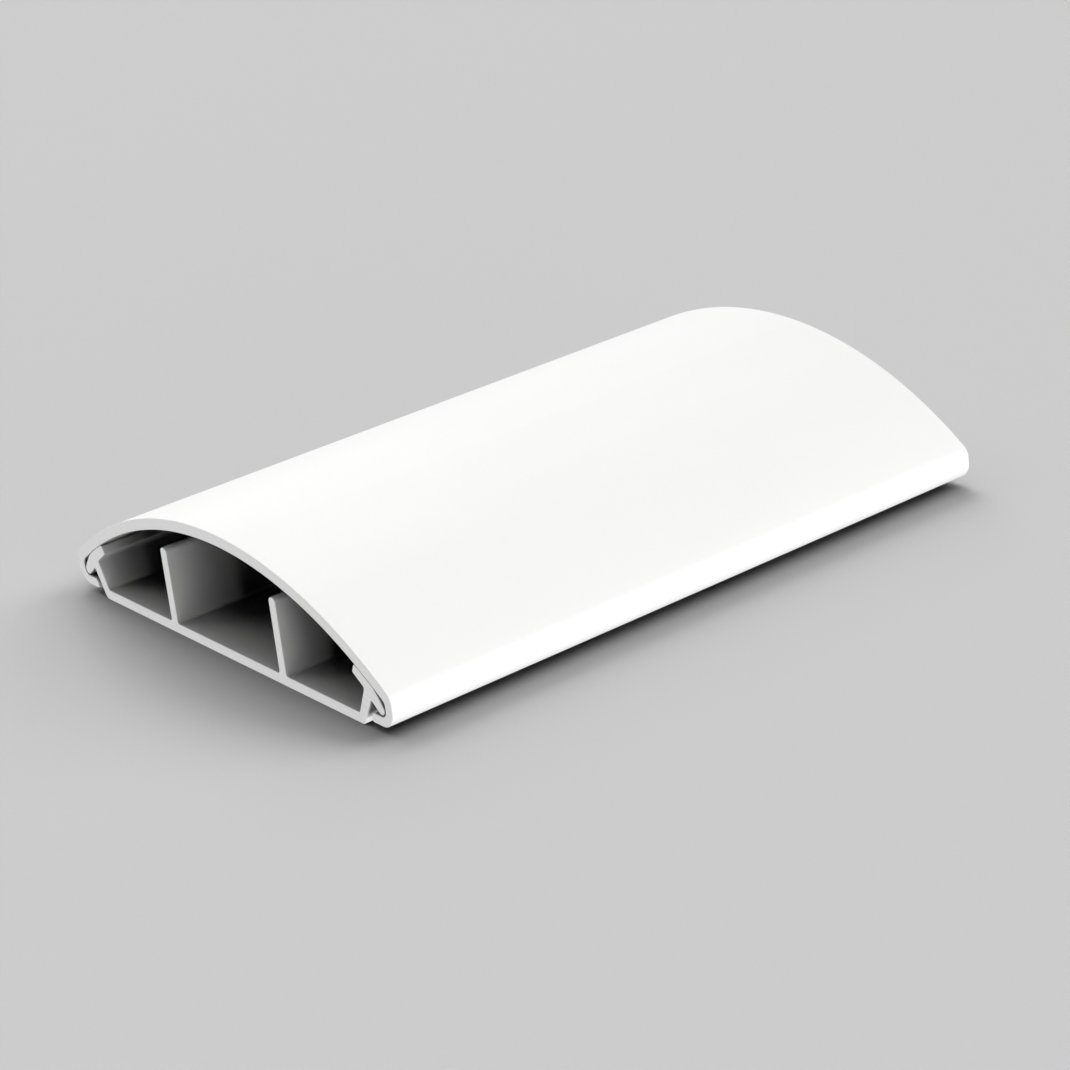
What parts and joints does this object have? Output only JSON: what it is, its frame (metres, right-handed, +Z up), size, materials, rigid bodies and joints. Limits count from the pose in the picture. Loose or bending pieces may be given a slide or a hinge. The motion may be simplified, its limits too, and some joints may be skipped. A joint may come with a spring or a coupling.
{
  "type": "cable trunking",
  "caption": "Low domed floor cable trunking: a flat divided base channel with a curved cover that clips over its edges, cut to a short straight length.",
  "frame": {"origin": "on the floor under the middle of the piece: centred across its width and along its length, at the base's underside", "axes": "+X across the width, +Y along the trunking from the end in view to the far end, +Z up from the floor to the crown"},
  "size_m": [0.075, 0.1, 0.018],
  "materials": {
    "base_plastic": "satin white extruded rigid plastic",
    "cover_plastic": "smooth satin white extruded rigid plastic"
  },
  "bodies": {
    "base": {"trunking_base": "base_plastic"},
    "cover": {"trunking_cover": "cover_plastic"}
  },
  "joints": [
    {"name": "cover_slide", "type": "slide", "parent": "base", "child": "cover", "axis": [0, 1, 0], "range_m": [-0.105, 0.105]}
  ]
}
